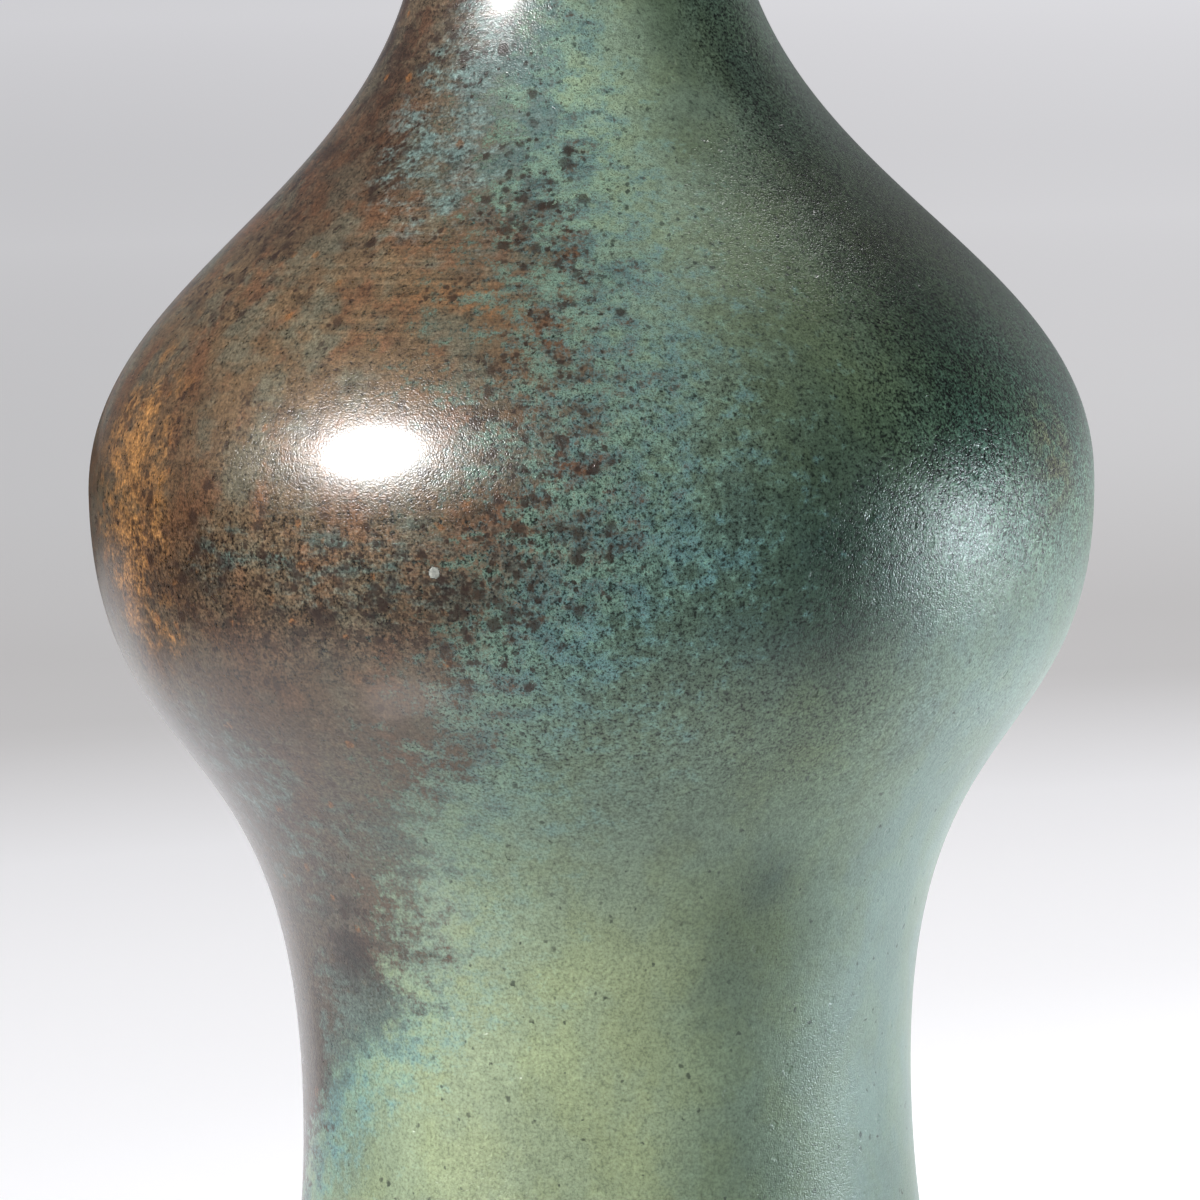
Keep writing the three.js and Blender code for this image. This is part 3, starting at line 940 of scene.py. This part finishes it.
outwards = Vector((math.sin(plug_angle), -math.cos(plug_angle), 0))
bar = bar_across(plug_radius, plug_face - PLUG_DEPTH, plug_face)
rim = [edge for edge in bar.edges if all(spot.co.dot(outwards) > plug_face - 0.01 for spot in edge.verts)]
bmesh.ops.bevel(bar, geom=rim, offset=PLUG_EDGE_ROUND, segments=3, profile=0.5, affect="EDGES")
for spot in bar.verts:
    if spot.co.dot(outwards) > plug_face - 2 * PLUG_EDGE_ROUND:
        wall_radius = float(np.interp(spot.co.z, trunk_outer[:, 1], trunk_outer[:, 0]))
        spot.co += outwards * (wall_radius - plug_face)
for face in bar.faces:
    face.smooth = True
for edge in bar.edges:
    edge.smooth = edge.calc_face_angle(0.0) < SHARP_ABOVE
bar.transform(Matrix.Scale(MM, 4))
plug_mesh = bpy.data.meshes.new("casting_plug_filed")
bar.to_mesh(plug_mesh)
bar.free()
plug_mesh.materials.append(plug_metal)
casting_plug = put_in_scene("casting_plug_filed", plug_mesh)
settle(casting_plug, "casting_plug")

# Shoulder
# The second large casting: it laps the trunk's collar at the fullest girth, so that the seam lies on the
# belly's ridge, and draws in to the narrowest place of the neck.

BELLY_PULL_UP = 35.0
NECK_PULL_DOWN = 46.8
SHOULDER_STEPS = 120
SHOULDER_WALL_STEPS = 40

neck_seam = seam_at("neck_braze", "neck_and_mouth")
neck_radius = neck_seam.inside + WALL
shoulder_line = (
    (belly_radius, belly_seam.height),
    (belly_radius, belly_seam.height + BELLY_PULL_UP),
    (neck_radius, neck_seam.height - NECK_PULL_DOWN),
    (neck_radius, neck_seam.height),
)
shoulder_wall = drawn_line(*shoulder_line, SHOULDER_WALL_STEPS, even_wall)
shoulder_inner = [
    *collar_on(neck_seam),
    *cavity(shoulder_wall, belly_seam.lap_top, neck_seam.height - COLLAR_REACH),
    *rebate_over(belly_seam, shoulder_wall),
]
shoulder_shown = [tuple(spot) for spot in drawn_line(*shoulder_line, SHOULDER_STEPS)]
shoulder = turned("shoulder_turned", shoulder_shown, shoulder_inner, patina)
settle(shoulder, "shoulder")

# Neck and mouth
# The last casting, a short trumpet. Its wall thickens towards the mouth and ends in a half-round lip.

MOUTH_RADIUS = 36.0
MOUTH_HEIGHT = 280.0
LIP_THICKNESS = 4.4
MOUTH_LEAN = 48
NECK_PULL_UP = 22.0
MOUTH_PULL = 14.0
MOUTH_STEPS = 64
MOUTH_WALL_STEPS = 48
LIP_STEPS = 24
THICKENS_FROM = 0.4


def lip_wall(share):
    thickening = np.clip((share - THICKENS_FROM) / (1 - THICKENS_FROM), 0, 1)
    return WALL + (LIP_THICKNESS - WALL) * thickening**2 * (3 - 2 * thickening)


lip_round = LIP_THICKNESS / 2
lip_middle = (MOUTH_RADIUS - lip_round, MOUTH_HEIGHT - lip_round)
lip = arc(lip_middle, lip_round, -MOUTH_LEAN, 180 - MOUTH_LEAN, LIP_STEPS)
lean = math.radians(MOUTH_LEAN)
mouth_line = (
    (neck_radius, neck_seam.height),
    (neck_radius, neck_seam.height + NECK_PULL_UP),
    (lip[0][0] - MOUTH_PULL * math.sin(lean), lip[0][1] - MOUTH_PULL * math.cos(lean)),
    lip[0],
)
mouth_wall = drawn_line(*mouth_line, MOUTH_WALL_STEPS, lip_wall)
mouth_shown = [tuple(spot) for spot in drawn_line(*mouth_line, MOUTH_STEPS)] + lip[1:]
mouth_inner = [
    *cavity(mouth_wall[:-1], neck_seam.lap_top, MOUTH_HEIGHT),
    *rebate_over(neck_seam, mouth_wall),
]
neck_and_mouth = turned("neck_and_mouth_turned", mouth_shown, mouth_inner, patina)
settle(neck_and_mouth, "neck_and_mouth")

# Brazing rings
# Yellow brazing metal that ran into the three seams. It shows only inside, as a narrow ring at the end of
# each rebate.

brazing_metal, bench, shader = new_finish("brazing_metal", {"Metallic": 1.0})
point = bench.place()
flow = bench.noise(point, 2.0, 4.0, 0.6)
scale = bench.fade(bench.noise(point, 5.0, 5.0, 0.65), 0.45, 0.62)
brass = bench.ramp(flow, 1.0, (0.3, 160, 122, 58), (0.7, 206, 168, 96))
bench.feed(shader["Base Color"], bench.mix(bench.times(scale, 0.7), brass, tint(92, 66, 44)))
bench.feed(shader["Roughness"], bench.between(scale, 0.35, 0.6))
bench.feed(shader["Normal"], bench.bump(bench.times(flow, 0.08)))

for place, seam in {"foot": foot_seam, "belly": belly_seam, "neck": neck_seam}.items():
    ring_section = [
        (seam.inside, seam.collar_top),
        (seam.collar, seam.collar_top),
        (seam.collar, seam.lap_top),
        (seam.inside, seam.lap_top),
    ]
    ring = turned(f"{place}_braze_run", ring_section, [], brazing_metal)
    settle(ring, f"{place}_braze")

# Floor, light and camera
# A wide pale floor with a painted pool of light near the vase, that turns grey behind it in painted shade
# and lighter again far off, and a long lens a little above the belly. In reflections the floor shows
# painted light and shade. The lamps are a soft one on the left with a smaller one for its highlight, a tiny
# warm one by the table, a low cool one and a fill on the right, and one high up behind.

FLOOR_RADIUS = 20.0
FLOOR_SIDES = 128
FLOOR_DROP = 0.0003
FLOOR_GLOW = 0.6
POOL_MIDDLE = (0.25, 0.12, 0.0)

floor_mesh = bpy.data.meshes.new("floor")
disc = bmesh.new()
bmesh.ops.create_circle(disc, cap_ends=True, segments=FLOOR_SIDES, radius=FLOOR_RADIUS)
disc.to_mesh(floor_mesh)
disc.free()
floor_mesh.transform(Matrix.Translation((0, 0, -FLOOR_DROP)))
floor = put_in_scene("floor", floor_mesh)

floor_finish = bpy.data.materials.new("floor")
floor_finish.use_nodes = True
floor_finish.node_tree.nodes.clear()
bench = Bench(floor_finish.node_tree)
spot = bench.put("ShaderNodeTexCoord", out="Object")
reach = bench.put("ShaderNodeVectorMath", (spot, POOL_MIDDLE), operation="DISTANCE")
# Painted light: the floor's tone is a pool of light round POOL_MIDDLE and a grey ring of painted shade
# about a metre out; far off it is lighter again, as a backdrop
tone = bench.ramp(
    reach, 10.0,
    (0.2, 240, 239, 241),
    (0.4, 224, 223, 225),
    (0.55, 220, 219, 221),
    (0.7, 214, 213, 215),
    (0.96, 184, 182, 182),
    (1.15, 183, 181, 181),
    (1.7, 199, 198, 199),
    (3.4, 236, 235, 237),
    (8.0, 252, 251, 254),
)
rays = bench.put("ShaderNodeLightPath", out=None)
across, deep, _ = bench.parts(spot)
# Painted light: the far floor a little lighter to the right and darker to the left
painted_light_to_right = bench.math("DIVIDE", across, bench.add(bench.math("MAXIMUM", deep, 0.0), 1.3))
painted_light_to_right = bench.times(bench.swing(bench.fade(painted_light_to_right, -0.08, 0.08), 0.14), bench.fade(deep, 0.8, 2.2))
tone = bench.shade(tone, bench.add(painted_light_to_right, 1.02))
# Painted reflection: in reflections the floor glows only on the right, near the vase and behind it, and
# elsewhere it is darkened by in_shade, a painted shade that only reflections see
away = bench.put("ShaderNodeVectorMath", (spot,), operation="LENGTH")
right_part = bench.fade(across, -0.14, 0.06)
behind_part = bench.fade(bench.math("MULTIPLY_ADD", across, 0.8, deep), -0.05, 0.08)
behind_part = bench.times(behind_part, bench.fade(away, 1.35, 0.9))
bright_part = bench.either(right_part, bench.fade(away, 0.42, 0.24), behind_part)
bright_part = bench.times(bright_part, bench.fade(deep, -0.3, -0.1))
mirrored = bench.times(rays["Is Glossy Ray"], bright_part)
seen = bench.either(rays["Is Camera Ray"], mirrored, rays["Is Transmission Ray"])
in_shade = bench.times(rays["Is Glossy Ray"], bench.between(bright_part, 0.85, 0.0))
lit = bench.put("ShaderNodeBsdfDiffuse", {"Color": bench.shade(tone, bench.between(in_shade, 0.8, 0.0))})
glow = bench.put("ShaderNodeEmission", {"Color": tone, "Strength": bench.times(seen, FLOOR_GLOW)})
both = bench.put("ShaderNodeAddShader", (lit, glow))
bench.put("ShaderNodeOutputMaterial", {"Surface": both}, out=None)
floor_mesh.materials.append(floor_finish)

world = bpy.data.worlds.new("studio")
bpy.context.scene.world = world
world.use_nodes = True
world.node_tree.nodes.clear()
bench = Bench(world.node_tree)
way = bench.put("ShaderNodeTexCoord", out="Generated")
across, behind, height = bench.parts(way)
STUDIO_DARK = tint(84, 86, 90)
STUDIO_WALL = tint(150, 151, 154)
STUDIO_BRIGHT = tint(190, 192, 196)
far_side = bench.times(bench.fade(behind, -0.2, 0.5), bench.fade(across, -0.45, -0.1))
surround = bench.mix(bench.times(bench.fade(height, 0.3, 0.0), far_side), STUDIO_DARK, STUDIO_WALL)
far_right = bench.times(bench.fade(behind, 0.5, 0.85), bench.fade(across, 0.2, 0.5))
far_right = bench.times(far_right, bench.fade(height, 0.6, 0.3))
surround = bench.mix(far_right, surround, STUDIO_BRIGHT)
rays = bench.put("ShaderNodeLightPath", out=None)
surround = bench.mix(rays["Is Camera Ray"], surround, tint(217, 217, 220))
sky = bench.put("ShaderNodeBackground", {"Color": surround})
bench.put("ShaderNodeOutputWorld", {"Surface": sky}, out=None)


def soft_lamp(name, place, aim, width, height, watts, colour=(1, 1, 1), lights=True, mirrored=True):
    """An oval lamp at a place, turned towards another; it may make only light or only highlights."""
    lamp = bpy.data.lights.new(name, "AREA")
    lamp.shape = "ELLIPSE"
    lamp.size, lamp.size_y = width, height
    lamp.energy = watts
    lamp.color = colour
    holder = put_in_scene(name, lamp)
    holder.location = place
    holder.rotation_euler = (Vector(place) - Vector(aim)).to_track_quat("Z", "Y").to_euler()
    holder.visible_camera = False
    holder.visible_diffuse = lights
    holder.visible_glossy = mirrored


BELLY_MIDDLE = (0, 0, belly_seam.height * MM)
KEY_PLACE = (-0.886, -0.661, 0.694)
GLINT_PLACE = (-0.86, -0.642, 0.678)
TABLE_PLACE = (-0.1, -0.101, 0.004)
UNDER_BAND = (-0.0247, -0.061, 0.117)
WARM = (1.0, 0.86, 0.8)
COOL = (0.82, 0.95, 1.0)

soft_lamp("key_lamp", KEY_PLACE, BELLY_MIDDLE, 0.6, 0.62, 14.0, mirrored=False)
soft_lamp("key_glint", GLINT_PLACE, BELLY_MIDDLE, 0.44, 0.45, 32.0, lights=False)
soft_lamp("table_glint", TABLE_PLACE, UNDER_BAND, 0.06, 0.06, 0.02, colour=WARM, lights=False)
soft_lamp("low_lamp", (0.382, -0.026, 0.086), BELLY_MIDDLE, 0.12, 0.072, 0.76, colour=COOL)
soft_lamp("right_fill", (0.9, 0.5, 0.3), BELLY_MIDDLE, 0.6, 0.4, 3.2, mirrored=False)
soft_lamp("top_lamp", (0.5, 1.5, 2.2), BELLY_MIDDLE, 1.0, 1.0, 24.0)

LENS = 260.8
CAMERA_PLACE = Vector((0.00084, -1.2942, 0.2476))
CAMERA_AIM = Vector((0.00084, 0.0, 0.1253))
CAMERA_ROLL = 0.0256

camera = put_in_scene("camera", bpy.data.cameras.new("camera"))
camera.data.lens = LENS
camera.data.sensor_width = 36.0
camera.data.clip_end = 100.0
ahead = (CAMERA_AIM - CAMERA_PLACE).normalized()
level = ahead.cross(Vector((0, 0, 1))).normalized()
upright = level.cross(ahead)
right = level * math.cos(CAMERA_ROLL) - upright * math.sin(CAMERA_ROLL)
upward = level * math.sin(CAMERA_ROLL) + upright * math.cos(CAMERA_ROLL)
turn = Matrix((right, upward, -ahead)).transposed().to_4x4()
camera.matrix_world = Matrix.Translation(CAMERA_PLACE) @ turn
bpy.context.scene.camera = camera
bpy.context.scene.view_settings.view_transform = "Standard"
